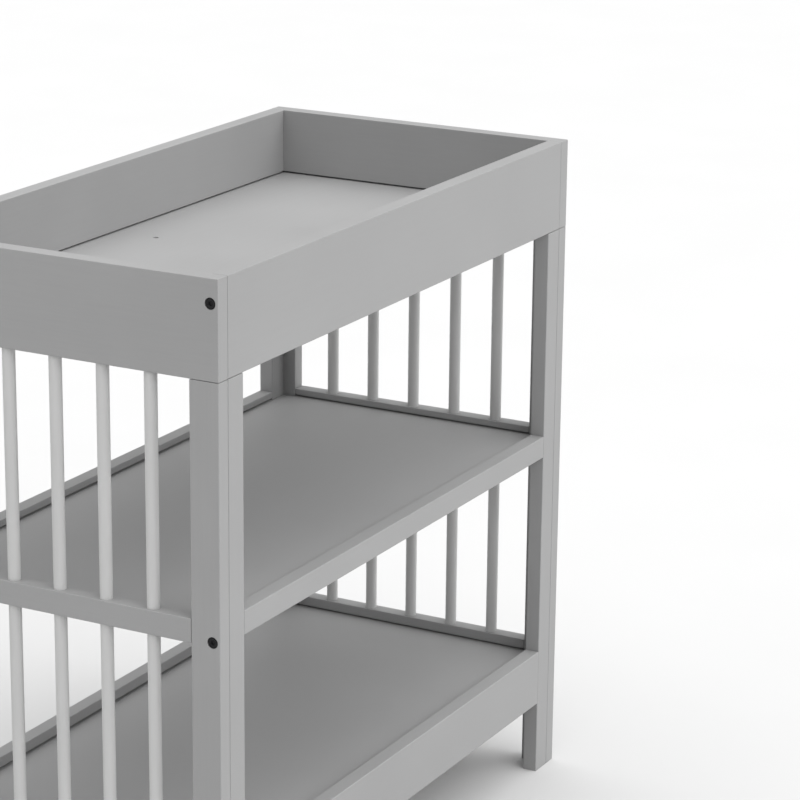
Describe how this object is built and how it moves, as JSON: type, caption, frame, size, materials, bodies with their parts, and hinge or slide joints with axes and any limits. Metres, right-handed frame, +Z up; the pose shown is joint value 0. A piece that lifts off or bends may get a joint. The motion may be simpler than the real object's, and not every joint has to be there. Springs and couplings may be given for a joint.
{
  "type": "changing table",
  "caption": "Open changing table: a rimmed tray for a changing pad over two open shelves, with spindled end panels on four straight legs.",
  "frame": {"origin": "on the floor under the middle of the table", "axes": "+X to the right along the table seen from its front, +Y to the back, +Z up"},
  "size_m": [0.925, 0.466, 0.927],
  "materials": {
    "grey_paint": "satin neutral grey paint on wood",
    "white_paint": "satin white paint on turned wood",
    "black_steel": "black coated steel",
    "zinc_steel": "zinc plated steel",
    "beech": "bare beech"
  },
  "bodies": {
    "root": {"barrel_nuts": "zinc_steel", "connector_bolts": "black_steel", "dowels": "beech", "end_stile_back_left": "grey_paint", "end_stile_back_right": "grey_paint", "end_stile_front_left": "grey_paint", "end_stile_front_right": "grey_paint", "inner_post_back_left": "grey_paint", "inner_post_back_right": "grey_paint", "inner_post_front_left": "grey_paint", "inner_post_front_right": "grey_paint", "low_back_rail": "grey_paint", "low_end_rail_left": "grey_paint", "low_end_rail_right": "grey_paint", "low_front_rail": "grey_paint", "low_shelf_panel": "grey_paint", "mid_back_rail": "grey_paint", "mid_end_rail_left": "grey_paint", "mid_end_rail_right": "grey_paint", "mid_front_rail": "grey_paint", "mid_shelf_panel": "grey_paint", "spindle_lower_left_1": "white_paint", "spindle_lower_left_2": "white_paint", "spindle_lower_left_3": "white_paint", "spindle_lower_left_4": "white_paint", "spindle_lower_left_5": "white_paint", "spindle_lower_right_1": "white_paint", "spindle_lower_right_2": "white_paint", "spindle_lower_right_3": "white_paint", "spindle_lower_right_4": "white_paint", "spindle_lower_right_5": "white_paint", "spindle_upper_left_1": "white_paint", "spindle_upper_left_2": "white_paint", "spindle_upper_left_3": "white_paint", "spindle_upper_left_4": "white_paint", "spindle_upper_left_5": "white_paint", "spindle_upper_right_1": "white_paint", "spindle_upper_right_2": "white_paint", "spindle_upper_right_3": "white_paint", "spindle_upper_right_4": "white_paint", "spindle_upper_right_5": "white_paint", "tray_back_board": "grey_paint", "tray_end_board_left": "grey_paint", "tray_end_board_right": "grey_paint", "tray_floor_panel": "grey_paint", "tray_front_board": "grey_paint"}
  },
  "joints": []
}
